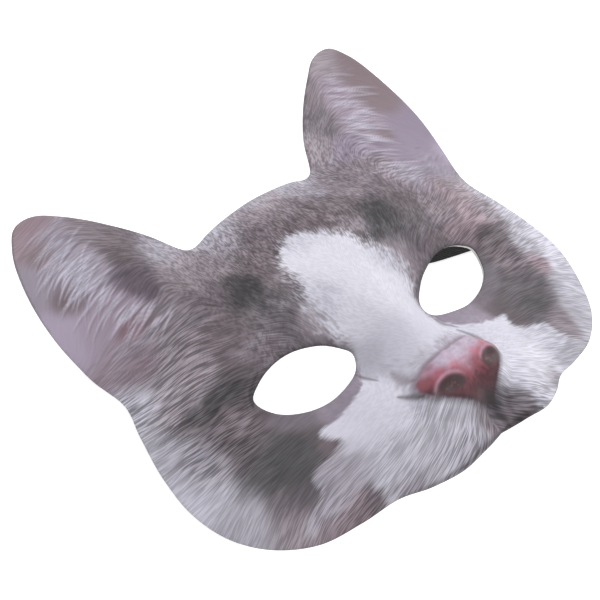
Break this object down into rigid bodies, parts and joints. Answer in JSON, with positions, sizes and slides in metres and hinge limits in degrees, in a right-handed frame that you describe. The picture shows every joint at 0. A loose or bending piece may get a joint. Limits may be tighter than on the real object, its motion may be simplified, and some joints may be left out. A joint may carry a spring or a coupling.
{
  "type": "cat mask",
  "caption": "Moulded foam half-face cat mask with ears, eye openings, a raised nose and a flat elastic band behind.",
  "frame": {"origin": "centre of the footprint of the mask's bounding box, on the surface that it lies on", "axes": "+Z out of the face, +Y towards the ears, +X towards the mask's right side as seen from the front with the ears up"},
  "size_m": [0.2208, 0.199, 0.0499],
  "materials": {
    "printed_foam": "printed cloth bonded to moulded foam, matt",
    "black_elastic": "woven elastic",
    "black_patch": "plain bonded cloth"
  },
  "bodies": {
    "root": {"face_shell": "printed_foam", "elastic_strap": "black_elastic", "strap_patch_left": "black_patch", "strap_patch_right": "black_patch"}
  },
  "joints": []
}
